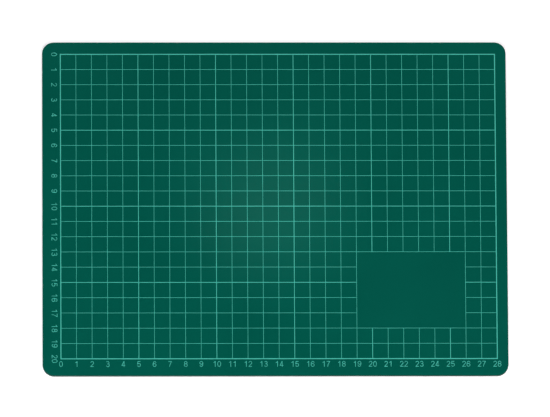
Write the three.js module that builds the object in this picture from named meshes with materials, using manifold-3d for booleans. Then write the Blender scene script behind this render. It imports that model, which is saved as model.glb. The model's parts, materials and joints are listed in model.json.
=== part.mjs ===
// Self-healing craft cutting mat: three PVC plies pressed into one flat sheet, with a
// centimetre grid printed on the working face.
// Millimetres, +Z up. The origin is the middle of the underside, +X runs along the long
// edge and +Y points to the edge where the side scale starts at zero.
import * as THREE from "three";
import { mergeVertices } from "three/addons/utils/BufferGeometryUtils.js";
import loadManifold from "manifold-3d";

const manifold = await loadManifold();
manifold.setup();

// The sheet's outline, the same for all three plies because they are cut in one stroke
const MAT_LENGTH = 299;
const MAT_WIDTH = 219;
const CORNER_RADIUS = 7.5;
const CORNER_STEPS = 12;

// The plies, from the table up
const BOTTOM_SHEET_THICKNESS = 1.0;
const CORE_SHEET_THICKNESS = 1.0;
const TOP_SHEET_THICKNESS = 1.0;

// The printed grid: the wide margins on the left and at the bottom hold the scales' numbers
const GRID_PITCH = 10;
const GRID_LEFT_MARGIN = 11.8;
const GRID_BOTTOM_MARGIN = 11.1;
const GRID_RIGHT_MARGIN_LEAST = 7;
const GRID_TOP_MARGIN_LEAST = 7.5;
const HEAVY_LINE_EVERY = 5;

// The ink
const INK_THICKNESS = 0.05;
const BORDER_LINE_WIDTH = 0.6;
const HEAVY_LINE_WIDTH = 0.4;
const FINE_LINE_WIDTH = 0.25;

// The field without lines in the lower right, counted in grid squares
const BARE_FIELD_COLUMNS = 7;
const BARE_FIELD_ROWS = 5;
const BARE_FIELD_FROM_RIGHT = 2;
const BARE_FIELD_FROM_BOTTOM = 2;

// The grid takes as many whole squares as fit between the margins
const wholeSquares = (length) => Math.floor(length / GRID_PITCH);
const GRID_COLUMNS = wholeSquares(MAT_LENGTH - GRID_LEFT_MARGIN - GRID_RIGHT_MARGIN_LEAST);
const GRID_ROWS = wholeSquares(MAT_WIDTH - GRID_BOTTOM_MARGIN - GRID_TOP_MARGIN_LEAST);
const GRID_LEFT = GRID_LEFT_MARGIN - MAT_LENGTH / 2;
const GRID_BOTTOM = GRID_BOTTOM_MARGIN - MAT_WIDTH / 2;
const GRID_TOP = GRID_BOTTOM + GRID_ROWS * GRID_PITCH;

// The lower face of each ply and of the ink
const BOTTOM_SHEET_Z = 0;
const CORE_SHEET_Z = BOTTOM_SHEET_Z + BOTTOM_SHEET_THICKNESS;
const TOP_SHEET_Z = CORE_SHEET_Z + CORE_SHEET_THICKNESS;
const INK_Z = TOP_SHEET_Z + TOP_SHEET_THICKNESS;

// The finishes: every piece gets a material of its own
const softPvc = () => new THREE.MeshStandardMaterial({ color: 0x00574a, roughness: 0.62, metalness: 0 });
const hardPvc = () => new THREE.MeshStandardMaterial({ color: 0x2b322f, roughness: 0.5, metalness: 0 });
const mintInk = () => new THREE.MeshStandardMaterial({ color: 0x58baa8, roughness: 0.7, metalness: 0 });

// A rectangle with round corners, centred on the origin.
function roundedOutline(length, width, radius) {
  const x = length / 2 - radius;
  const y = width / 2 - radius;
  const quarter = Math.PI / 2;
  const outline = new THREE.Shape();
  outline.absarc(x, y, radius, 0, quarter);
  outline.absarc(-x, y, radius, quarter, 2 * quarter);
  outline.absarc(-x, -y, radius, 2 * quarter, 3 * quarter);
  outline.absarc(x, -y, radius, 3 * quarter, 4 * quarter);
  return outline;
}

// A sharp-cornered rectangle given by two opposite corners.
function rectangle(left, bottom, right, top) {
  return new THREE.Shape([
    new THREE.Vector2(left, bottom),
    new THREE.Vector2(right, bottom),
    new THREE.Vector2(right, top),
    new THREE.Vector2(left, top),
  ]);
}

// A flat outline raised straight up from height 0.
function raise(outline, thickness) {
  return new THREE.ExtrudeGeometry(outline, {
    depth: thickness,
    bevelEnabled: false,
    curveSegments: CORNER_STEPS,
  });
}

// A named piece, lying with its lower face at the height given.
function piece(name, geometry, material, lowerFace) {
  const mesh = new THREE.Mesh(geometry, material);
  mesh.name = name;
  mesh.position.z = lowerFace;
  return mesh;
}

// One ply of the sheet.
function ply(thickness) {
  return raise(roundedOutline(MAT_LENGTH, MAT_WIDTH, CORNER_RADIUS), thickness);
}

// A closed geometry as a solid that can be joined and cut.
function toSolid(geometry) {
  geometry.deleteAttribute("normal");
  geometry.deleteAttribute("uv");
  const welded = mergeVertices(geometry);
  const mesh = new manifold.Mesh({
    numProp: 3,
    vertProperties: new Float32Array(welded.attributes.position.array),
    triVerts: new Uint32Array(welded.index.array),
  });
  return new manifold.Manifold(mesh);
}

// A joined and cut solid as a geometry again.
function toGeometry(solid) {
  const mesh = solid.getMesh();
  const geometry = new THREE.BufferGeometry();
  geometry.setAttribute("position", new THREE.BufferAttribute(mesh.vertProperties, mesh.numProp));
  geometry.setIndex(new THREE.BufferAttribute(mesh.triVerts, 1));
  return geometry;
}

// Columns are counted from the left and rows from the top, as the scales count them.
const columnX = (column) => GRID_LEFT + column * GRID_PITCH;
const rowY = (row) => GRID_TOP - row * GRID_PITCH;

// The width of line number `index` among lines 0 to `last`.
function lineWidth(index, last) {
  if (index === 0 || index === last) return BORDER_LINE_WIDTH;
  return index % HEAVY_LINE_EVERY === 0 ? HEAVY_LINE_WIDTH : FINE_LINE_WIDTH;
}

// The clear space between two columns and two rows of lines.
function clearSpace(leftColumn, rightColumn, topRow, bottomRow) {
  return rectangle(
    columnX(leftColumn) + lineWidth(leftColumn, GRID_COLUMNS) / 2,
    rowY(bottomRow) + lineWidth(bottomRow, GRID_ROWS) / 2,
    columnX(rightColumn) - lineWidth(rightColumn, GRID_COLUMNS) / 2,
    rowY(topRow) - lineWidth(topRow, GRID_ROWS) / 2,
  );
}

// Every window in the print: one large window for the bare field and one for each square outside it.
function windows() {
  const bareRight = GRID_COLUMNS - BARE_FIELD_FROM_RIGHT;
  const bareLeft = bareRight - BARE_FIELD_COLUMNS;
  const bareBottom = GRID_ROWS - BARE_FIELD_FROM_BOTTOM;
  const bareTop = bareBottom - BARE_FIELD_ROWS;
  const outlines = [clearSpace(bareLeft, bareRight, bareTop, bareBottom)];
  for (let column = 0; column < GRID_COLUMNS; column++) {
    for (let row = 0; row < GRID_ROWS; row++) {
      const inBareColumns = column >= bareLeft && column < bareRight;
      const inBareRows = row >= bareTop && row < bareBottom;
      if (inBareColumns && inBareRows) continue;
      outlines.push(clearSpace(column, column + 1, row, row + 1));
    }
  }
  return outlines;
}

// A block that cuts a window: twice as thick as the film and centred on it, so it passes both faces.
function cutter(outline) {
  return toSolid(raise(outline, 2 * INK_THICKNESS).translate(0, 0, -INK_THICKNESS / 2));
}

// The printed net: one connected film of ink, open between its lines.
function gridFilm() {
  const overhang = BORDER_LINE_WIDTH / 2;
  const frame = rectangle(
    columnX(0) - overhang,
    rowY(GRID_ROWS) - overhang,
    columnX(GRID_COLUMNS) + overhang,
    rowY(0) + overhang,
  );
  const openings = windows().map(cutter).reduce((joined, block) => joined.add(block));
  return toGeometry(toSolid(raise(frame, INK_THICKNESS)).subtract(openings));
}

const mat = new THREE.Group();
mat.add(
  piece("bottom_sheet", ply(BOTTOM_SHEET_THICKNESS), softPvc(), BOTTOM_SHEET_Z),
  piece("core_sheet", ply(CORE_SHEET_THICKNESS), hardPvc(), CORE_SHEET_Z),
  piece("top_sheet", ply(TOP_SHEET_THICKNESS), softPvc(), TOP_SHEET_Z),
  piece("grid_print", gridFilm(), mintInk(), INK_Z),
);

export default mat;
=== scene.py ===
# %% [markdown]
# A craft cutting mat
#
# The real thing is a sheet of plastic that a knife can cut into and that closes up again.
# Two soft green plies are pressed on a harder core, the sheet is die-cut with round corners,
# and a centimetre grid with number scales is screen-printed on the working face.
# The CAD model of those plies is loaded first and never changes: every piece made below sits
# where its solid sits, in metres, with the middle of the underside at the origin.

# %% Load the frame
import json
import math

import bpy
from mathutils import Matrix, Vector

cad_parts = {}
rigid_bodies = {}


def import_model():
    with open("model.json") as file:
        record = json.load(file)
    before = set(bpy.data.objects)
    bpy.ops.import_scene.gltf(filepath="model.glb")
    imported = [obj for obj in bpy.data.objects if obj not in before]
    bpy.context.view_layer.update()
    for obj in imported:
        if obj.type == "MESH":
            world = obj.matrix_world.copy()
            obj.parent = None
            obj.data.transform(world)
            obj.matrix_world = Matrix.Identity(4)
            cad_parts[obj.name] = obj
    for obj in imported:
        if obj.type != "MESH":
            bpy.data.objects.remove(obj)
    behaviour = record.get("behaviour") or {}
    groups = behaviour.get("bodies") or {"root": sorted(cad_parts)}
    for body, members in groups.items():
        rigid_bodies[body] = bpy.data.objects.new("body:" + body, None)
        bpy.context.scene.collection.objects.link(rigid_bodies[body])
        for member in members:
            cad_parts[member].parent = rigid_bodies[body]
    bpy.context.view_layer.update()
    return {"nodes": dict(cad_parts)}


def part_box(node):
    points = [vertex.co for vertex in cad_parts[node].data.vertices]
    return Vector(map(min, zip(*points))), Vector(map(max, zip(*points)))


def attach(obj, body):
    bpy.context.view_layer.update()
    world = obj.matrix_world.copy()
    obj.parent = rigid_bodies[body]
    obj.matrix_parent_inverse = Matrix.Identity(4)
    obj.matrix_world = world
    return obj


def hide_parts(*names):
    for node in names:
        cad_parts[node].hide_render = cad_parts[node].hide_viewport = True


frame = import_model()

MM = 0.001
print("CAD nodes:", sorted(frame["nodes"]))

# %% [markdown]
# Sizes of the print
#
# The plies take their sizes from the CAD boxes, so they can never drift from the solids.
# The print could be traced from the solid's mesh, but a rule is easier to read and to change.
# So it is ruled from a few numbers that a printer would be given: the pitch of the squares,
# three line weights, and where the field without lines lies. Columns are counted from the
# left and rows from the top, as the scales count them.

# %% Name the sizes of the print
PITCH = 10 * MM
COLUMNS = 28
ROWS = 20
BORDER_LINE = 0.60 * MM
HEAVY_LINE = 0.40 * MM
FINE_LINE = 0.25 * MM
HEAVY_EVERY = 5
BARE_LEFT_COLUMN = 19
BARE_RIGHT_COLUMN = 26
BARE_TOP_ROW = 13
BARE_BOTTOM_ROW = 18

print_low, print_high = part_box("grid_print")
GRID_LEFT = print_low.x + BORDER_LINE / 2
GRID_BOTTOM = print_low.y + BORDER_LINE / 2
GRID_TOP = print_high.y - BORDER_LINE / 2
FACE_HEIGHT = print_low.z
INK_THICKNESS = print_high.z - print_low.z
print("grid starts at", round(GRID_LEFT / MM, 2), round(GRID_TOP / MM, 2), "mm from the middle")
print("ink is", round(INK_THICKNESS / MM, 3), "mm thick")

# %% [markdown]
# Two small helpers for node trees
#
# Shader trees and Geometry Nodes trees are built the same way: add a node, set it, and feed
# each input from another node's output or from a plain value. Two helpers keep that short.

# %% Helpers that add and feed nodes
def feed(tree, socket, value):
    """Link an output socket to this input, or set a plain value on it."""
    if isinstance(value, bpy.types.NodeSocket):
        tree.links.new(value, socket)
    else:
        socket.default_value = value


def add_node(tree, kind, inputs=None, **settings):
    """Add a node, set its own settings, then feed its inputs by name or number."""
    node = tree.nodes.new(kind)
    for name, value in settings.items():
        setattr(node, name, value)
    for key, value in (inputs or {}).items():
        feed(tree, node.inputs[key], value)
    return node


def calculate(tree, operation, *values):
    """A Math node's result."""
    node = add_node(tree, "ShaderNodeMath", dict(enumerate(values)), operation=operation)
    return node.outputs[0]


print("node helpers ready")

# %% [markdown]
# Finishes
#
# A finish could be painted as an image, but an image has a fixed sharpness and needs a map of
# the mesh. Here every finish is a Principled shader driven by procedural textures on Object
# coordinates. Those are in metres from the origin, so a noise scale of 2500 per metre gives
# specks of about 0.4 mm, and the pattern stays put when the camera moves.

# %% Helpers for the finishes
NOISE_SPAN = (0.3, 0.7)


def new_finish(name):
    """An empty node material with its tree and the Object coordinates to paint by."""
    finish = bpy.data.materials.new(name)
    finish.use_nodes = True
    tree = finish.node_tree
    tree.nodes.clear()
    place = add_node(tree, "ShaderNodeTexCoord").outputs["Object"]
    return finish, tree, place


def noise(tree, place, per_metre, detail=2.0, roughness=0.5):
    """A soft random value from 0 to 1 at this scale."""
    inputs = {"Vector": place, "Scale": per_metre, "Detail": detail, "Roughness": roughness}
    return add_node(tree, "ShaderNodeTexNoise", inputs).outputs[0]


def ramp(tree, value, span, dark, light):
    """A linear colour that goes from dark to light while the value crosses a span of (low, high)."""
    node = add_node(tree, "ShaderNodeValToRGB", {0: value})
    for element, position, colour in zip(node.color_ramp.elements, span, (dark, light)):
        element.position = position
        element.color = (*colour, 1.0)
    return node.outputs["Color"]


def spread(tree, value, span):
    """Carry a noise value from the span where it mostly lies to another span of (low, high)."""
    inputs = {"Value": value}
    for label, (low, high) in (("From", NOISE_SPAN), ("To", span)):
        inputs[label + " Min"] = low
        inputs[label + " Max"] = high
    return add_node(tree, "ShaderNodeMapRange", inputs).outputs[0]


def blend(tree, fine, broad, fine_share):
    """Add two noises; the broad one gets the share that the fine one leaves."""
    rest = calculate(tree, "MULTIPLY", broad, 1 - fine_share)
    return calculate(tree, "MULTIPLY_ADD", fine, fine_share, rest)


def relief(tree, height, strength, depth):
    """Turn a height pattern into fine relief."""
    inputs = {"Height": height, "Strength": strength, "Distance": depth}
    return add_node(tree, "ShaderNodeBump", inputs).outputs[0]


def shade(tree, colour, roughness, normal, specular):
    """End the tree in a Principled shader."""
    shader = add_node(tree, "ShaderNodeBsdfPrincipled", {
        "Base Color": colour, "Roughness": roughness, "Normal": normal, "Specular IOR Level": specular})
    add_node(tree, "ShaderNodeOutputMaterial", {"Surface": shader.outputs[0]})


print("finish helpers ready")

# %% [markdown]
# Soft green PVC
#
# The working face is matte, like a sheet pressed against a blasted plate: it carries a fine
# pebble of about a quarter of a millimetre. The green is mixed into the plastic, so it only
# drifts a little from place to place. A cloudy noise gives the drift and a fine one the specks.
# The pebble as a mesh would take millions of faces, so a cell pattern with noise stands for it,
# which the Bump node turns into relief.

# %% Make the soft green PVC
SOFT_DARK = (0.0001, 0.0812, 0.0570)
SOFT_LIGHT = (0.0004, 0.0944, 0.0665)
SOFT_ROUGHNESS = (0.33, 0.39)
SOFT_SPECULAR = 0.035
CLOUDS_PER_METRE = 16
SPECKS_PER_METRE = 2600
SPECK_SHARE = 0.35
PEBBLES_PER_METRE = 3800
GRAINS_PER_METRE = 5200
PEBBLE_STRENGTH = 0.6
PEBBLE_DEPTH = 0.03 * MM


def soft_pvc_face():
    """The grained face of a soft ply."""
    finish, tree, place = new_finish("soft_green_pvc")
    cloud = noise(tree, place, CLOUDS_PER_METRE, detail=3.0)
    speck = noise(tree, place, SPECKS_PER_METRE, detail=1.0)
    tone = blend(tree, speck, cloud, SPECK_SHARE)
    colour = ramp(tree, tone, NOISE_SPAN, SOFT_DARK, SOFT_LIGHT)
    cells = add_node(tree, "ShaderNodeTexVoronoi", {"Vector": place, "Scale": PEBBLES_PER_METRE})
    grain = calculate(tree, "ADD", cells.outputs["Distance"], noise(tree, place, GRAINS_PER_METRE))
    pebble = relief(tree, grain, PEBBLE_STRENGTH, PEBBLE_DEPTH)
    shade(tree, colour, spread(tree, cloud, SOFT_ROUGHNESS), pebble, SOFT_SPECULAR)
    return finish


soft_face = soft_pvc_face()
print("made", soft_face.name)

# %% [markdown]
# The cut edges
#
# A steel rule cuts all three plies in one stroke and drags fine upright marks down the edge.
# Object coordinates squeezed along Z turn an even noise into such marks: the pattern hardly
# changes with height, but quickly along the edge. The marks are much finer than a ply, so
# relief is enough and they need no mesh. The soft plies and the core share this recipe. The core
# has its own dark grey; the soft plies' edges get their green made darker as painted shade, so
# the three plies can be told apart at the edge.

# %% Make the two cut edges
# The soft edge greens are darker than the face green of the same plastic: painted shade on the cut walls.
SOFT_EDGE_SHADED_DARK = (0.001, 0.034, 0.026)
SOFT_EDGE_SHADED_LIGHT = (0.004, 0.060, 0.045)
SOFT_EDGE_SPECULAR = 0.2
CORE_EDGE_DARK = (0.012, 0.018, 0.016)
CORE_EDGE_LIGHT = (0.030, 0.040, 0.036)
CORE_EDGE_SPECULAR = 0.3
EDGE_SPAN = (0.32, 0.68)
EDGE_ROUGHNESS = (0.45, 0.62)
DRAG_SQUEEZE = (1.0, 1.0, 0.12)
DRAGS_PER_METRE = 3200
PATCHES_PER_METRE = 90
DRAG_SHARE = 0.6
DRAG_STRENGTH = 0.4
DRAG_DEPTH = 0.03 * MM


def cut_edge(name, dark, light, specular):
    """A die-cut edge with upright drag marks."""
    finish, tree, place = new_finish(name)
    squeezed = add_node(tree, "ShaderNodeMapping", {"Vector": place, "Scale": DRAG_SQUEEZE})
    drag = noise(tree, squeezed.outputs[0], DRAGS_PER_METRE, detail=3.0)
    patch = noise(tree, place, PATCHES_PER_METRE)
    tone = blend(tree, drag, patch, DRAG_SHARE)
    colour = ramp(tree, tone, EDGE_SPAN, dark, light)
    marks = relief(tree, drag, DRAG_STRENGTH, DRAG_DEPTH)
    shade(tree, colour, spread(tree, drag, EDGE_ROUGHNESS), marks, specular)
    return finish


# The soft edge finish carries painted shade: its green is darker than the face's.
soft_edge = cut_edge("shaded_soft_pvc_cut_edge", SOFT_EDGE_SHADED_DARK, SOFT_EDGE_SHADED_LIGHT, SOFT_EDGE_SPECULAR)
core_edge = cut_edge("hard_core_cut_edge", CORE_EDGE_DARK, CORE_EDGE_LIGHT, CORE_EDGE_SPECULAR)
print("made", soft_edge.name, "and", core_edge.name)

# %% [markdown]
# Mint ink
#
# The print is one thin, opaque pull of ink through a screen. It could be a mask in the green
# finish, but the CAD model has the ink as a solid of its own, so it gets a finish of its own.
# Its coverage is a little uneven, so the colour drifts. Pinholes as fine as the grain of the
# face below roughen it.

# %% Make the ink
INK_THIN = (0.042, 0.405, 0.318)
INK_FULL = (0.062, 0.490, 0.391)
INK_SPAN = (0.30, 0.55)
INK_ROUGHNESS = (0.62, 0.74)
INK_SPECULAR = 0.2
PULLS_PER_METRE = 120
PINHOLES_PER_METRE = 4200
PINHOLE_SHARE = 0.4
PINHOLE_STRENGTH = 0.25
PINHOLE_DEPTH = 0.015 * MM


def printed_ink():
    """The ink of the grid and the scales."""
    finish, tree, place = new_finish("mint_print_ink")
    coverage = noise(tree, place, PULLS_PER_METRE, detail=4.0, roughness=0.6)
    pinholes = noise(tree, place, PINHOLES_PER_METRE, detail=1.0)
    tone = blend(tree, pinholes, coverage, PINHOLE_SHARE)
    colour = ramp(tree, tone, INK_SPAN, INK_THIN, INK_FULL)
    grain = relief(tree, pinholes, PINHOLE_STRENGTH, PINHOLE_DEPTH)
    shade(tree, colour, spread(tree, coverage, INK_ROUGHNESS), grain, INK_SPECULAR)
    return finish


ink = printed_ink()
print("made", ink.name)

# %% [markdown]
# Running a Geometry Nodes tree
#
# A tree is attached to a new object as a modifier, its inputs are set by their identifiers,
# and the evaluated result is then copied out as a plain mesh. The modifier could stay live,
# but an export needs finished meshes, so the object that carried it is removed again.

# %% Helpers that build and run a tree
WELD = 0.001 * MM


def new_tree(name, inputs):
    """A Geometry Nodes tree with these named inputs; returns it with its input node."""
    tree = bpy.data.node_groups.new(name, "GeometryNodeTree")
    tree.interface.new_socket(name="Geometry", in_out="INPUT", socket_type="NodeSocketGeometry")
    for label, kind in inputs.items():
        tree.interface.new_socket(name=label, in_out="INPUT", socket_type="NodeSocket" + kind)
    tree.interface.new_socket(name="Geometry", in_out="OUTPUT", socket_type="NodeSocketGeometry")
    return tree, tree.nodes.new("NodeGroupInput").outputs


def end_tree(tree, geometry, material):
    """Close the tree with Realize Instances and Set Material."""
    real = add_node(tree, "GeometryNodeRealizeInstances", {0: geometry}).outputs[0]
    coated = add_node(tree, "GeometryNodeSetMaterial", {"Geometry": real, "Material": material})
    add_node(tree, "NodeGroupOutput", {0: coated.outputs[0]})


def size_in_mm(mesh):
    """Length, width and height of a mesh."""
    axes = zip(*(vertex.co for vertex in mesh.vertices))
    return [round((max(axis) - min(axis)) / MM, 3) for axis in axes]


def run_tree(name, tree, values, data=None, finishing=None):
    """Evaluate the tree on a new object and keep the result as a plain mesh piece."""
    maker = bpy.data.objects.new(name + "_maker", data or bpy.data.meshes.new(name + "_seed"))
    bpy.context.scene.collection.objects.link(maker)
    modifier = maker.modifiers.new("rule", "NODES")
    modifier.node_group = tree
    for item in tree.interface.items_tree:
        if item.in_out == "INPUT" and item.name in values:
            modifier[item.identifier] = values[item.name]
    if finishing:
        finishing(maker)
    depsgraph = bpy.context.evaluated_depsgraph_get()
    mesh = bpy.data.meshes.new_from_object(maker.evaluated_get(depsgraph), depsgraph=depsgraph)
    mesh.name = name
    bpy.data.objects.remove(maker)
    piece = bpy.data.objects.new(name, mesh)
    bpy.context.scene.collection.objects.link(piece)
    print(name, "has", len(mesh.polygons), "faces and is", size_in_mm(mesh), "mm")
    return piece


def join(tree, *parts):
    """Several geometries as one."""
    node = tree.nodes.new("GeometryNodeJoinGeometry")
    for part in parts:
        tree.links.new(part, node.inputs[0])
    return node.outputs[0]


def weld(tree, geometry):
    """Merge points that share a place, so that no sliver or open seam is left."""
    return add_node(tree, "GeometryNodeMergeByDistance", {0: geometry, "Distance": WELD}).outputs[0]


def thicken(tree, sheet, thickness):
    """Raise a flat sheet of faces into a closed slab."""
    raised = add_node(tree, "GeometryNodeExtrudeMesh", {
        "Mesh": sheet, "Offset Scale": thickness, "Individual": False})
    underside = add_node(tree, "GeometryNodeFlipFaces", {0: sheet}).outputs[0]
    both = join(tree, raised.outputs["Mesh"], underside)
    return weld(tree, both), raised.outputs["Side"]


print("tree helpers ready")

# %% [markdown]
# The three plies
#
# A ply is a rectangle with rounded corners and a thickness. It could be shaped by hand from a
# flat cube, but it follows a rule, so a tree can make all three from their CAD boxes. The tree
# draws the rectangle as a curve, fillets its corners, fills it and raises it. The walls get
# the cut-edge finish through the Side output of Extrude Mesh.
# A Bevel modifier breaks the sharp arrises: on the real mat the rule's pressure rounds
# them a little, and between two plies the two roundings leave the fine seam seen at the edge.

# %% Build the ply tree
ply_tree, ply_in = new_tree("pressed_ply", {
    "Length": "Float", "Width": "Float", "Corner radius": "Float", "Corner steps": "Int",
    "Lower face": "Float", "Thickness": "Float", "Face finish": "Material", "Edge finish": "Material",
})
ply_rectangle = add_node(ply_tree, "GeometryNodeCurvePrimitiveQuadrilateral", {
    "Width": ply_in["Length"], "Height": ply_in["Width"]})
ply_outline = add_node(ply_tree, "GeometryNodeFilletCurve", {
    "Curve": ply_rectangle.outputs[0], "Radius": ply_in["Corner radius"],
    "Count": ply_in["Corner steps"]}, mode="POLY")
ply_sheet = add_node(ply_tree, "GeometryNodeFillCurve", {0: ply_outline.outputs[0]}, mode="NGONS")
ply_slab, ply_wall = thicken(ply_tree, ply_sheet.outputs[0], ply_in["Thickness"])
ply_lift = add_node(ply_tree, "ShaderNodeCombineXYZ", {"Z": ply_in["Lower face"]})
ply_lifted = add_node(ply_tree, "GeometryNodeTransform", {
    "Geometry": ply_slab, "Translation": ply_lift.outputs[0]})
ply_faced = add_node(ply_tree, "GeometryNodeSetMaterial", {
    "Geometry": ply_lifted.outputs[0], "Material": ply_in["Face finish"]})
ply_real = add_node(ply_tree, "GeometryNodeRealizeInstances", {0: ply_faced.outputs[0]})
ply_done = add_node(ply_tree, "GeometryNodeSetMaterial", {
    "Geometry": ply_real.outputs[0], "Selection": ply_wall, "Material": ply_in["Edge finish"]})
add_node(ply_tree, "NodeGroupOutput", {0: ply_done.outputs[0]})
print("ply tree has", len(ply_tree.nodes), "nodes")

# %% Press the three plies
CORNER_RADIUS = 7.5 * MM
CORNER_STEPS = 24
ARRIS = 0.16 * MM
ARRIS_STEPS = 3
SMOOTH_BELOW = math.radians(38)
SHARP_ABOVE = math.radians(60)


def break_arrises(maker):
    """Round every sharp edge of a ply by the same small radius."""
    bevel = maker.modifiers.new("arris", "BEVEL")
    bevel.width = ARRIS
    bevel.segments = ARRIS_STEPS
    bevel.limit_method = "ANGLE"
    bevel.angle_limit = SHARP_ABOVE


def press_ply(name, node, face, edge):
    """One ply, as large as its solid and in its place."""
    low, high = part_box(node)
    piece = run_tree(name, ply_tree, {
        "Length": high.x - low.x, "Width": high.y - low.y,
        "Corner radius": CORNER_RADIUS, "Corner steps": CORNER_STEPS,
        "Lower face": low.z, "Thickness": high.z - low.z,
        "Face finish": face, "Edge finish": edge,
    }, finishing=break_arrises)
    piece.data.shade_smooth()
    piece.data.set_sharp_from_angle(angle=SMOOTH_BELOW)
    return piece


bottom_ply = press_ply("bottom_ply", "bottom_sheet", soft_face, soft_edge)
core_ply = press_ply("core_ply", "core_sheet", core_edge, core_edge)
top_ply = press_ply("top_ply", "top_sheet", soft_face, soft_edge)

# %% [markdown]
# The printed grid
#
# The net could be drawn as bars that cross, but then every crossing would hold two faces in
# one place. Here it is cut out instead: one frame-sized rectangle of ink with a window for
# each square, filled by Fill Curve, which leaves out whatever a second curve encloses.
# A window ends where the line beside it starts, so its size follows from the line weights.
# A small tree of its own says how wide line number n is.

# %% Build the tree for a line's half width
weight_tree = bpy.data.node_groups.new("line_half_width", "GeometryNodeTree")
for label in ("Line number", "Last line", "Border line", "Heavy line", "Fine line", "Heavy every"):
    weight_tree.interface.new_socket(name=label, in_out="INPUT", socket_type="NodeSocketFloat")
weight_tree.interface.new_socket(name="Half width", in_out="OUTPUT", socket_type="NodeSocketFloat")
weight_in = weight_tree.nodes.new("NodeGroupInput").outputs
SAME = 0.5


def choose(choice, if_so, if_not):
    """One of two sizes, by a Switch node."""
    inputs = {"Switch": choice, "False": if_not, "True": if_so}
    return add_node(weight_tree, "GeometryNodeSwitch", inputs, input_type="FLOAT").outputs[0]


is_first = calculate(weight_tree, "COMPARE", weight_in["Line number"], 0.0, SAME)
is_last = calculate(weight_tree, "COMPARE", weight_in["Line number"], weight_in["Last line"], SAME)
is_border = calculate(weight_tree, "MAXIMUM", is_first, is_last)
remainder = calculate(weight_tree, "FLOORED_MODULO", weight_in["Line number"], weight_in["Heavy every"])
is_heavy = calculate(weight_tree, "COMPARE", remainder, 0.0, SAME)
inner_width = choose(is_heavy, weight_in["Heavy line"], weight_in["Fine line"])
full_line = choose(is_border, weight_in["Border line"], inner_width)
half_width = calculate(weight_tree, "MULTIPLY", full_line, 0.5)
add_node(weight_tree, "NodeGroupOutput", {0: half_width})
print("line tree has", len(weight_tree.nodes), "nodes")

# %% [markdown]
# The grid tree numbers its windows from 0 upwards, column by column, and works out each
# window's column and row from its number. Each window is one unit square, instanced at its
# place and stretched to its size. Windows inside the bare field are not instanced: one large
# window takes their place.

# %% Build the grid tree
GRID_SIZES = ("Pitch", "Border line", "Heavy line", "Fine line", "Left", "Top", "Height", "Thickness")
GRID_COUNTS = ("Columns", "Rows", "Heavy every", "Bare left", "Bare right", "Bare top", "Bare bottom")
grid_inputs = {label: "Float" for label in GRID_SIZES}
grid_inputs.update({label: "Int" for label in GRID_COUNTS})
grid_inputs["Ink"] = "Material"
grid_tree, grid_in = new_tree("printed_grid", grid_inputs)


def half_width_of(line, last):
    """Half the width of a line, by the small tree."""
    group = grid_tree.nodes.new("GeometryNodeGroup")
    group.node_tree = weight_tree
    for label in ("Border line", "Heavy line", "Fine line", "Heavy every"):
        feed(grid_tree, group.inputs[label], grid_in[label])
    feed(grid_tree, group.inputs["Line number"], line)
    feed(grid_tree, group.inputs["Last line"], last)
    return group.outputs[0]


def clear_span(first_line, last_line, last):
    """Where the space between two lines starts and ends, measured from line 0."""
    pitch = grid_in["Pitch"]
    start = calculate(grid_tree, "MULTIPLY_ADD", first_line, pitch, half_width_of(first_line, last))
    far = calculate(grid_tree, "MULTIPLY", last_line, pitch)
    return start, calculate(grid_tree, "SUBTRACT", far, half_width_of(last_line, last))


def window(columns, rows):
    """Centre and size of the window between two columns and two rows."""
    left, right = clear_span(*columns, grid_in["Columns"])
    top, bottom = clear_span(*rows, grid_in["Rows"])
    middle_x = calculate(grid_tree, "MULTIPLY", calculate(grid_tree, "ADD", left, right), 0.5)
    middle_y = calculate(grid_tree, "MULTIPLY", calculate(grid_tree, "ADD", top, bottom), 0.5)
    centre = add_node(grid_tree, "ShaderNodeCombineXYZ", {
        "X": calculate(grid_tree, "ADD", grid_in["Left"], middle_x),
        "Y": calculate(grid_tree, "SUBTRACT", grid_in["Top"], middle_y)}).outputs[0]
    size = add_node(grid_tree, "ShaderNodeCombineXYZ", {
        "X": calculate(grid_tree, "SUBTRACT", right, left),
        "Y": calculate(grid_tree, "SUBTRACT", bottom, top), "Z": 1.0}).outputs[0]
    return centre, size


print("grid tree takes", len(grid_inputs), "inputs")

# %% Number the windows and leave out the bare field
number = grid_tree.nodes.new("GeometryNodeInputIndex").outputs[0]
column = calculate(grid_tree, "FLOOR", calculate(grid_tree, "DIVIDE", number, grid_in["Rows"]))
row = calculate(grid_tree, "FLOORED_MODULO", number, grid_in["Rows"])
next_column = calculate(grid_tree, "ADD", column, 1.0)
next_row = calculate(grid_tree, "ADD", row, 1.0)


def within(value, first, last):
    """1 where value is first or more and below last."""
    below_first = calculate(grid_tree, "LESS_THAN", value, first)
    below_last = calculate(grid_tree, "LESS_THAN", value, last)
    return calculate(grid_tree, "SUBTRACT", below_last, below_first)


in_bare_columns = within(column, grid_in["Bare left"], grid_in["Bare right"])
in_bare_rows = within(row, grid_in["Bare top"], grid_in["Bare bottom"])
is_bare = calculate(grid_tree, "MULTIPLY", in_bare_columns, in_bare_rows)
is_window = calculate(grid_tree, "SUBTRACT", 1.0, is_bare)

unit_square = add_node(grid_tree, "GeometryNodeCurvePrimitiveQuadrilateral", {"Width": 1.0, "Height": 1.0})
small_centre, small_size = window((column, next_column), (row, next_row))
window_count = calculate(grid_tree, "MULTIPLY", grid_in["Columns"], grid_in["Rows"])
window_points = add_node(grid_tree, "GeometryNodePoints", {"Count": window_count, "Position": small_centre})
small_windows = add_node(grid_tree, "GeometryNodeInstanceOnPoints", {
    "Points": window_points.outputs[0], "Selection": is_window,
    "Instance": unit_square.outputs[0], "Scale": small_size})
print("windows are numbered column by column")

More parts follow.
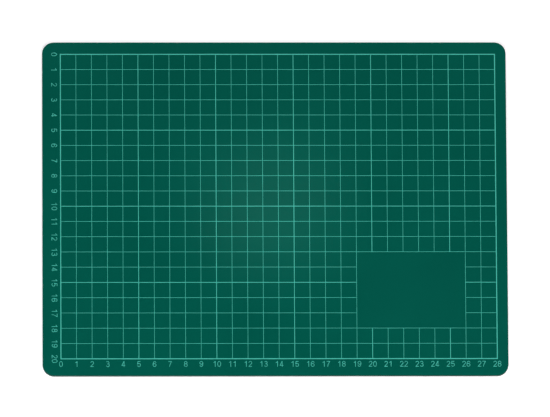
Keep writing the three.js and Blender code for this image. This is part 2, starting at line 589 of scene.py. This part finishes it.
# %% Cut the windows out of the ink
large_centre, large_size = window(
    (grid_in["Bare left"], grid_in["Bare right"]), (grid_in["Bare top"], grid_in["Bare bottom"]))
large_window = add_node(grid_tree, "GeometryNodeTransform", {
    "Geometry": unit_square.outputs[0], "Translation": large_centre, "Scale": large_size})
full_width = calculate(grid_tree, "MULTIPLY", grid_in["Columns"], grid_in["Pitch"])
full_height = calculate(grid_tree, "MULTIPLY", grid_in["Rows"], grid_in["Pitch"])
frame_centre = add_node(grid_tree, "ShaderNodeCombineXYZ", {
    "X": calculate(grid_tree, "MULTIPLY_ADD", full_width, 0.5, grid_in["Left"]),
    "Y": calculate(grid_tree, "MULTIPLY_ADD", full_height, -0.5, grid_in["Top"])})
frame_square = add_node(grid_tree, "GeometryNodeCurvePrimitiveQuadrilateral", {
    "Width": calculate(grid_tree, "ADD", full_width, grid_in["Border line"]),
    "Height": calculate(grid_tree, "ADD", full_height, grid_in["Border line"])})
frame_outline = add_node(grid_tree, "GeometryNodeTransform", {
    "Geometry": frame_square.outputs[0], "Translation": frame_centre.outputs[0]})
outlines = join(grid_tree, frame_outline.outputs[0], large_window.outputs[0], small_windows.outputs[0])
real_outlines = add_node(grid_tree, "GeometryNodeRealizeInstances", {0: outlines})
net = add_node(grid_tree, "GeometryNodeFillCurve", {0: real_outlines.outputs[0]}, mode="TRIANGLES")
net_film, _ = thicken(grid_tree, net.outputs[0], grid_in["Thickness"])
net_lift = add_node(grid_tree, "ShaderNodeCombineXYZ", {"Z": grid_in["Height"]})
net_lifted = add_node(grid_tree, "GeometryNodeTransform", {
    "Geometry": net_film, "Translation": net_lift.outputs[0]})
end_tree(grid_tree, net_lifted.outputs[0], grid_in["Ink"])

grid_lines = run_tree("grid_lines", grid_tree, {
    "Pitch": PITCH, "Border line": BORDER_LINE, "Heavy line": HEAVY_LINE, "Fine line": FINE_LINE,
    "Left": GRID_LEFT, "Top": GRID_TOP, "Height": FACE_HEIGHT, "Thickness": INK_THICKNESS,
    "Columns": COLUMNS, "Rows": ROWS, "Heavy every": HEAVY_EVERY,
    "Bare left": BARE_LEFT_COLUMN, "Bare right": BARE_RIGHT_COLUMN,
    "Bare top": BARE_TOP_ROW, "Bare bottom": BARE_BOTTOM_ROW, "Ink": ink,
})

# %% [markdown]
# Drawing the numerals
#
# The scales use a plain sans-serif numeral of even stroke. Blender's own font has another
# style, so each numeral is drawn here as a pen would: a few strokes along lines and arcs,
# on a square of height 1. The list runs from 0 to 9, and the 9 is the 6 turned upside down.
# The tree sweeps a flat nib along the strokes, and a Boolean joins the strokes of one numeral
# into a single clean patch of ink.

# %% Draw the strokes of each numeral
NUMERAL_HEIGHT = 3.7 * MM
NUMERAL_STROKE = 0.38 * MM
NUMERAL_ADVANCE = 2.85 * MM
NIB = NUMERAL_STROKE / NUMERAL_HEIGHT
BASE = NIB / 2
CAP = 1 - NIB / 2
BOWL = 0.265
ARC_STEPS = 14


def arc(centre, radii, start, end):
    """Points along an ellipse, in degrees counted from the right, anticlockwise."""
    turn = math.radians(end - start) / ARC_STEPS
    angles = [math.radians(start) + step * turn for step in range(ARC_STEPS + 1)]
    return [(centre[0] + radii[0] * math.cos(a), centre[1] + radii[1] * math.sin(a)) for a in angles]


def loop(centre, radii):
    """A closed ellipse, without repeating its first point."""
    return arc(centre, radii, 0, 180)[:-1] + arc(centre, radii, 180, 360)[:-1]


def line(*points):
    """An open stroke through these points."""
    return list(points), False


def bow(centre, radii, start, end):
    """An open stroke along an arc."""
    return arc(centre, radii, start, end), False


def ring(centre, radii):
    """A closed stroke round an ellipse."""
    return loop(centre, radii), True


def half_turned(strokes):
    """The same strokes turned by half a turn about the middle of the square."""
    return [([(-x, 1 - y) for x, y in points], closed) for points, closed in strokes]


six = [
    ring((0, 0.305), (BOWL, 0.305 - BASE)),
    line(*arc((0.02, 0.43), (BOWL + 0.02, CAP - 0.43), 32, 180), (-BOWL, 0.305)),
]
NUMERALS = [
    [ring((0, 0.5), (BOWL, CAP - 0.5))],
    [
        line((0.09, 0), (0.09, 1)),
        line((0.10, 0.95), (-0.02, 0.82), (-0.20, 0.73)),
    ],
    [
        line(*arc((0, 0.70), (0.25, CAP - 0.70), 172, -25), (-0.24, 0.08)),
        line((-0.30, BASE), (0.29, BASE)),
    ],
    [
        bow((-0.01, 0.735), (0.22, CAP - 0.735), 155, -90),
        bow((0, 0.29), (BOWL, 0.29 - BASE), 100, -160),
        line((-0.10, 0.525), (0.02, 0.525)),
    ],
    [
        line((0.12, 0), (0.12, 1)),
        line((-0.31, 0.235), (0.31, 0.235)),
        line((0.12, 0.97), (-0.27, 0.25)),
    ],
    [
        line((-0.19, CAP), (0.25, CAP)),
        line((-0.17, 0.98), (-0.24, 0.45)),
        bow((0, 0.325), (BOWL, 0.325 - BASE), 155, -155),
    ],
    six,
    [
        line((-0.28, CAP), (0.29, CAP)),
        line((0.26, 0.93), (0.06, 0.60), (-0.06, 0.28), (-0.10, 0)),
    ],
    [
        ring((0, 0.735), (0.225, CAP - 0.735)),
        ring((0, 0.295), (BOWL, 0.295 - BASE)),
    ],
    half_turned(six),
]
print("drew", len(NUMERALS), "numerals with", sum(len(strokes) for strokes in NUMERALS), "strokes")

# %% Build the nib tree
nib_tree, nib_in = new_tree("flat_nib", {"Nib width": "Float", "Thickness": "Float", "Ink": "Material"})
flat_strokes = add_node(nib_tree, "GeometryNodeSetCurveNormal", {0: nib_in["Geometry"]}, mode="Z_UP")
nib_outline = add_node(nib_tree, "GeometryNodeCurvePrimitiveQuadrilateral", {
    "Width": nib_in["Nib width"], "Height": nib_in["Thickness"]})
swept = add_node(nib_tree, "GeometryNodeCurveToMesh", {
    "Curve": flat_strokes.outputs[0], "Profile Curve": nib_outline.outputs[0], "Fill Caps": True})
joined = add_node(nib_tree, "GeometryNodeMeshBoolean", operation="UNION", solver="EXACT")
feed(nib_tree, joined.inputs["Self Intersection"], True)
nib_tree.links.new(swept.outputs[0], joined.inputs["Mesh 2"])
end_tree(nib_tree, weld(nib_tree, joined.outputs[0]), nib_in["Ink"])
print("nib tree has", len(nib_tree.nodes), "nodes")

# %% Ink the ten numerals
def stroke_curves(name, strokes):
    """The strokes of a numeral as straight-sided splines, centred and at full size."""
    curves = bpy.data.curves.new(name, "CURVE")
    curves.dimensions = "3D"
    for points, closed in strokes:
        spline = curves.splines.new("POLY")
        spline.points.add(len(points) - 1)
        spline.use_cyclic_u = closed
        for target, (x, y) in zip(spline.points, points):
            target.co = (x * NUMERAL_HEIGHT, (y - 0.5) * NUMERAL_HEIGHT, 0, 1)
    return curves


numeral_box = bpy.data.collections.new("numerals")
for value, strokes in enumerate(NUMERALS):
    curves = stroke_curves(f"strokes_{value}", strokes)
    numeral = run_tree(f"numeral_{value}", nib_tree, {
        "Nib width": NUMERAL_STROKE, "Thickness": INK_THICKNESS, "Ink": ink}, data=curves)
    bpy.context.scene.collection.objects.unlink(numeral)
    numeral_box.objects.link(numeral)

# %% [markdown]
# Setting the scales
#
# A scale is a row of numbers one pitch apart. Setting each by hand would take eighty numerals,
# so a tree sets them: one row of points carries the units, a second the tens, and each point
# picks its numeral from the collection above.
# The side scale is the same row turned a quarter clockwise, which is how it is printed:
# it starts at the top corner and the heads of its numerals face the grid.

# %% Build the scale tree
DIGITS = len(NUMERALS)
scale_tree, scale_in = new_tree("number_scale", {
    "Numerals": "Collection", "Last number": "Int", "Pitch": "Float", "Advance": "Float",
    "Turn": "Vector", "Start": "Vector", "Ink": "Material",
})
numeral_set = add_node(scale_tree, "GeometryNodeCollectionInfo", {
    "Collection": scale_in["Numerals"], "Separate Children": True, "Reset Children": True})
position_number = scale_tree.nodes.new("GeometryNodeInputIndex").outputs[0]
number_count = calculate(scale_tree, "ADD", scale_in["Last number"], 1.0)
along = calculate(scale_tree, "MULTIPLY", position_number, scale_in["Pitch"])
units = calculate(scale_tree, "FLOORED_MODULO", position_number, DIGITS)
tens = calculate(scale_tree, "FLOOR", calculate(scale_tree, "DIVIDE", position_number, DIGITS))
has_tens = calculate(scale_tree, "MINIMUM", tens, 1.0)
half_advance = calculate(scale_tree, "MULTIPLY", scale_in["Advance"], 0.5)
side_step = calculate(scale_tree, "MULTIPLY", half_advance, has_tens)


def numeral_row(x, which, selection):
    """One numeral on each point of a row along X."""
    spot = add_node(scale_tree, "ShaderNodeCombineXYZ", {"X": x})
    points = add_node(scale_tree, "GeometryNodePoints", {"Count": number_count, "Position": spot.outputs[0]})
    return add_node(scale_tree, "GeometryNodeInstanceOnPoints", {
        "Points": points.outputs[0], "Selection": selection, "Instance": numeral_set.outputs[0],
        "Pick Instance": True, "Instance Index": which}).outputs[0]


units_row = numeral_row(calculate(scale_tree, "ADD", along, side_step), units, True)
tens_row = numeral_row(calculate(scale_tree, "SUBTRACT", along, side_step), tens, has_tens)
placed_rows = add_node(scale_tree, "GeometryNodeTransform", {
    "Geometry": join(scale_tree, units_row, tens_row),
    "Translation": scale_in["Start"], "Rotation": scale_in["Turn"]})
end_tree(scale_tree, placed_rows.outputs[0], scale_in["Ink"])
print("scale tree has", len(scale_tree.nodes), "nodes")

# %% Set the two scales
LONG_SCALE_GAP = 1.55 * MM
SIDE_SCALE_GAP = 2.2 * MM
INK_MIDDLE = FACE_HEIGHT + INK_THICKNESS / 2
LONG_SCALE_Y = GRID_BOTTOM - LONG_SCALE_GAP - NUMERAL_HEIGHT / 2
SIDE_SCALE_X = GRID_LEFT - SIDE_SCALE_GAP - NUMERAL_HEIGHT / 2


def set_scale(name, last_number, start, turn):
    """A row of numbers from 0 to the last number."""
    return run_tree(name, scale_tree, {
        "Numerals": numeral_box, "Last number": last_number, "Pitch": PITCH,
        "Advance": NUMERAL_ADVANCE, "Turn": turn, "Start": start, "Ink": ink})


QUARTER_CLOCKWISE = (0, 0, -math.pi / 2)
long_scale = set_scale("long_scale", COLUMNS, (GRID_LEFT, LONG_SCALE_Y, INK_MIDDLE), (0, 0, 0))
side_scale = set_scale("side_scale", ROWS, (SIDE_SCALE_X, GRID_TOP, INK_MIDDLE), QUARTER_CLOCKWISE)
for numeral in list(numeral_box.objects):
    bpy.data.objects.remove(numeral)
bpy.data.collections.remove(numeral_box)

# %% [markdown]
# Riding on the frame
#
# Nothing on a mat moves against anything else, so every piece rides on the one body of the
# frame. Each piece is listed with the material slot it belongs to, which is only printed, and
# the solid that it stands for, which is hidden.
# The two scales stand for no solid: they are signs, which the CAD model leaves out.

# %% Tie every piece to the frame
for piece, slot, node in (
    (bottom_ply, "soft_pvc", "bottom_sheet"),
    (core_ply, "hard_pvc", "core_sheet"),
    (top_ply, "soft_pvc", "top_sheet"),
    (grid_lines, "mint_ink", "grid_print"),
    (long_scale, "mint_ink", None),
    (side_scale, "mint_ink", None),
):
    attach(piece, "root")
    if node:
        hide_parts(node)
    print(piece.name, "rides on root as", slot)

# %% [markdown]
# Floor
#
# The mat lies on a plain pale floor. A floor lit like the mat renders a little under white.
# More light would turn it white, but would wash out the green too, so the floor's own finish
# adds a small glow instead. The camera sees it, as do reflections and clear pieces, but it
# lights nothing, and the shadow along the mat's edges stays.

# %% Lay the floor
FLOOR_REACH = 15.0
FLOOR_DROP = 0.05 * MM
FLOOR_GLOW = 0.48
FLOOR_DARK = (0.84, 0.84, 0.84)
FLOOR_LIGHT = (0.86, 0.86, 0.86)
FLOOR_CLOUDS_PER_METRE = 3
FLOOR_CORNERS = [(-1, -1), (1, -1), (1, 1), (-1, 1)]


def floor_finish():
    """A pale, evenly lit floor with a glow of its own."""
    finish, tree, place = new_finish("pale_floor")
    tone = ramp(tree, noise(tree, place, FLOOR_CLOUDS_PER_METRE), NOISE_SPAN, FLOOR_DARK, FLOOR_LIGHT)
    lit = add_node(tree, "ShaderNodeBsdfDiffuse", {"Color": tone})
    ray = add_node(tree, "ShaderNodeLightPath").outputs
    seen = calculate(tree, "MAXIMUM", ray["Is Camera Ray"], ray["Is Glossy Ray"])
    seen = calculate(tree, "MAXIMUM", seen, ray["Is Transmission Ray"])
    glow = add_node(tree, "ShaderNodeEmission", {"Strength": calculate(tree, "MULTIPLY", seen, FLOOR_GLOW)})
    both = add_node(tree, "ShaderNodeAddShader", {0: lit.outputs[0], 1: glow.outputs[0]})
    add_node(tree, "ShaderNodeOutputMaterial", {"Surface": both.outputs[0]})
    return finish


floor_mesh = bpy.data.meshes.new("floor")
floor_points = [(x * FLOOR_REACH, y * FLOOR_REACH, -FLOOR_DROP) for x, y in FLOOR_CORNERS]
floor_mesh.from_pydata(floor_points, [], [(0, 1, 2, 3)])
floor_mesh.materials.append(floor_finish())
floor = bpy.data.objects.new("floor", floor_mesh)
bpy.context.scene.collection.objects.link(floor)
print("floor reaches", FLOOR_REACH, "m each way")

# %% [markdown]
# Light
#
# One big lamp overhead would be simple, but it would mirror in the face and turn it grey.
# Four soft lamps stand round the mat instead, well off the mirror line from the camera, so
# that the matte green stays deep. The lamp on the camera's side stands closest, which makes
# the lower half of the face a little lighter. One narrow spot near the mirror line lays the
# faint grey sheen in the middle.

# %% Hang the lamps
LAMPS = {
    "near_lamp": {"compass": 0, "rise": 34, "distance": 1.2, "size": 0.8, "watts": 10.7},
    "right_lamp": {"compass": 90, "rise": 32, "distance": 1.8, "size": 1.0, "watts": 12.7},
    "far_lamp": {"compass": 180, "rise": 30, "distance": 2.2, "size": 1.2, "watts": 13.4},
    "left_lamp": {"compass": -90, "rise": 32, "distance": 1.8, "size": 1.0, "watts": 11.4},
}
SHEEN_WATTS = 14.8
SHEEN_CONE = math.radians(5.8)
SHEEN_FADE = 1.0
SHEEN_BULB = 0.03
SHEEN_PLACE = Vector((0.033, 0.254, 1.2))
SHEEN_AIM = Vector((0.001, 0.006, 0.003))
ROOM_TINT = (0.9, 0.95, 1.0, 1.0)
ROOM_STRENGTH = 0.12


def aim(thing, target):
    """Turn a lamp at a point."""
    direction = target - thing.location
    thing.rotation_euler = direction.to_track_quat("-Z", "Y").to_euler()


def soft_lamp(name, compass, rise, distance, size, watts):
    """A square lamp round the mat: compass 0 is the camera's side, rise its angle above the floor."""
    lamp = bpy.data.lights.new(name, "AREA")
    lamp.size = size
    lamp.energy = watts
    holder = bpy.data.objects.new(name, lamp)
    turn = math.radians(compass)
    out = Vector((math.sin(turn), -math.cos(turn), math.tan(math.radians(rise)))).normalized()
    holder.location = out * distance
    aim(holder, Vector())
    bpy.context.scene.collection.objects.link(holder)


for name, lamp in LAMPS.items():
    soft_lamp(name, **lamp)

sheen_lamp = bpy.data.lights.new("sheen_spot", "SPOT")
sheen_lamp.energy = SHEEN_WATTS
sheen_lamp.spot_size = SHEEN_CONE
sheen_lamp.spot_blend = SHEEN_FADE
sheen_lamp.shadow_soft_size = SHEEN_BULB
sheen_spot = bpy.data.objects.new("sheen_spot", sheen_lamp)
sheen_spot.location = SHEEN_PLACE
aim(sheen_spot, SHEEN_AIM)
bpy.context.scene.collection.objects.link(sheen_spot)

world = bpy.data.worlds.new("dim_room")
bpy.context.scene.world = world
world.use_nodes = True
room = world.node_tree.nodes["Background"]
room.inputs["Color"].default_value = ROOM_TINT
room.inputs["Strength"].default_value = ROOM_STRENGTH

# %% [markdown]
# Camera
#
# The picture was taken from high above with a long lens: the squares are a little wider than
# they are tall, and the far side is hardly smaller than the near side. The angles, the
# distance and the lens below put the grid's crossings where the picture shows them. Blender
# counts the lens and the sensor in millimetres, and everything else here in metres.

# %% Place the camera
CAMERA_AZIMUTH = math.radians(-7.03)
CAMERA_ELEVATION = math.radians(78.05)
CAMERA_ROLL = math.radians(6.85)
CAMERA_DISTANCE = 8.0
CAMERA_LENS = 814.3
CAMERA_SENSOR_WIDTH = 36.0
CAMERA_AIM = Vector((0.13 * MM, 0.04 * MM, FACE_HEIGHT))

lens = bpy.data.cameras.new("camera")
lens.lens = CAMERA_LENS
lens.sensor_width = CAMERA_SENSOR_WIDTH
camera = bpy.data.objects.new("camera", lens)
bpy.context.scene.collection.objects.link(camera)
level = math.cos(CAMERA_ELEVATION)
back = Vector((
    math.sin(CAMERA_AZIMUTH) * level, -math.cos(CAMERA_AZIMUTH) * level, math.sin(CAMERA_ELEVATION)))
across = Vector((math.cos(CAMERA_AZIMUTH), math.sin(CAMERA_AZIMUTH), 0))
stance = Matrix((across, back.cross(across), back)).transposed()
camera.matrix_world = Matrix.LocRotScale(
    CAMERA_AIM + back * CAMERA_DISTANCE, stance @ Matrix.Rotation(CAMERA_ROLL, 3, "Z"), None)
bpy.context.scene.camera = camera
bpy.context.scene.view_settings.view_transform = "Standard"
print("camera stands", [round(value, 3) for value in camera.matrix_world.translation], "m")
